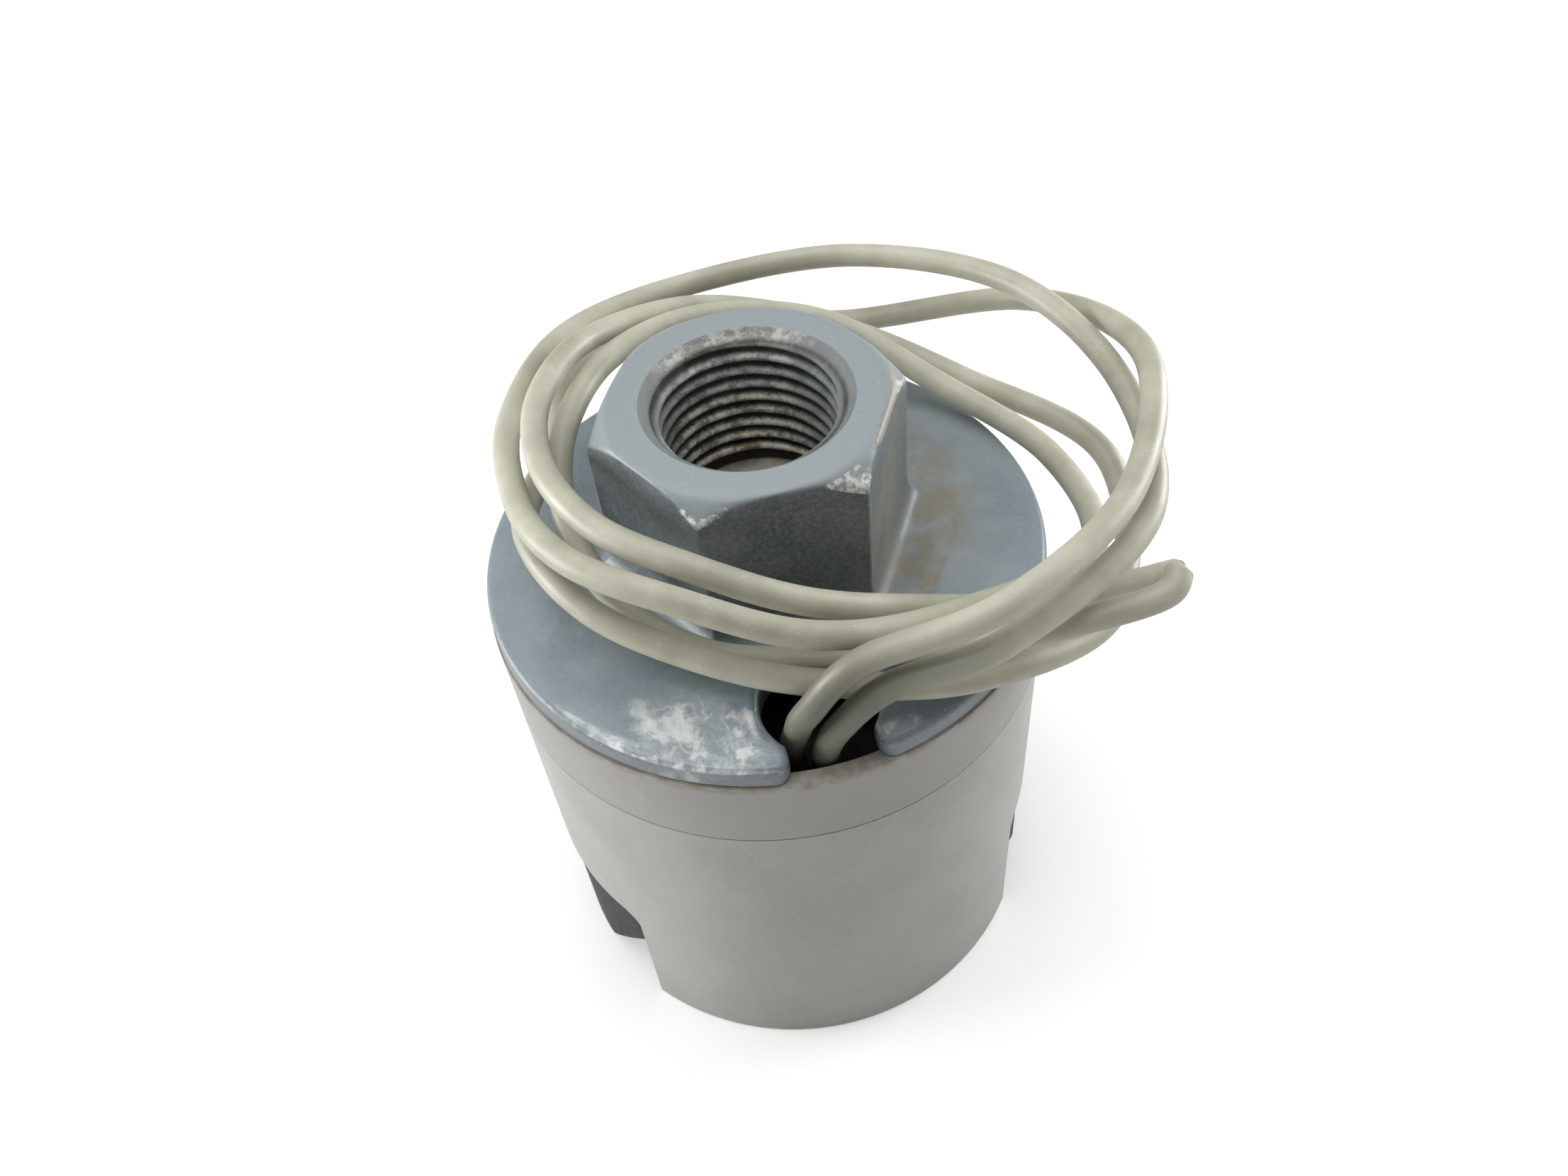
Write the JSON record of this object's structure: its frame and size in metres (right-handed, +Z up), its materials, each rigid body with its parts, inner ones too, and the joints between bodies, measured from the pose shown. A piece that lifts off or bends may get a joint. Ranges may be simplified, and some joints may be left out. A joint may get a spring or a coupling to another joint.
{
  "type": "submersible pump",
  "caption": "Small submersible pump: round skirt with intake slots, cast lid with a hexagonal threaded outlet, sealed motor and impeller inside, bare leads coiled round the outlet.",
  "frame": {"origin": "centre of the skirt's round foot, on the surface the pump stands on", "axes": "+Z up along the pump's axis towards the outlet; the lead notch and one flat of the hexagon face -Y; the intake slots face +X and -X"},
  "size_m": [0.0775, 0.0719, 0.084],
  "materials": {
    "head_paint": "semi-gloss paint on a cast surface, worn to bare metal at edges and threads",
    "skirt_grey": "matte, lightly speckled",
    "black_plastic": "satin moulded",
    "black_rubber": "matte",
    "brass": "turned",
    "bright_steel": "bright",
    "pale_plastic": "satin",
    "amber_plastic": "satin moulded",
    "lamination_steel": "dull, stacked sheet",
    "motor_grey": "satin",
    "copper_varnish": "varnished copper wire",
    "potting_resin": "cast resin",
    "lead_grey": "satin insulation with fine dust"
  },
  "bodies": {
    "pump_body": {"discharge_head": "head_paint", "skirt": "skirt_grey", "pump_casing": "black_plastic", "base_cover": "black_plastic", "base_gasket": "black_rubber", "neck_gasket": "black_rubber", "ring_nut": "brass", "base_screws": "bright_steel", "valve_seat": "brass", "poppet_guide": "black_plastic", "diffuser": "black_plastic", "motor_housing": "motor_grey", "motor_cover": "motor_grey", "stator_core": "lamination_steel", "stator_winding": "copper_varnish", "lower_bush": "brass", "upper_bush": "brass", "shaft_seal": "black_rubber", "lead_grommet": "black_rubber", "lead_potting": "potting_resin", "lead_a": "lead_grey", "lead_b": "lead_grey"},
    "rotor": {"shaft": "bright_steel", "rotor_core": "lamination_steel", "thrust_washers": "pale_plastic", "impeller": "amber_plastic", "impeller_nut": "bright_steel"},
    "valve": {"check_poppet": "pale_plastic"}
  },
  "joints": [
    {"name": "rotor_spin", "type": "hinge", "parent": "pump_body", "child": "rotor", "pos_m": [0, 0, 0.028], "axis": [0, 0, 1], "continuous": true},
    {"name": "poppet_lift", "type": "slide", "parent": "pump_body", "child": "valve", "axis": [0, 0, 1], "range_m": [0, 0.004]}
  ]
}
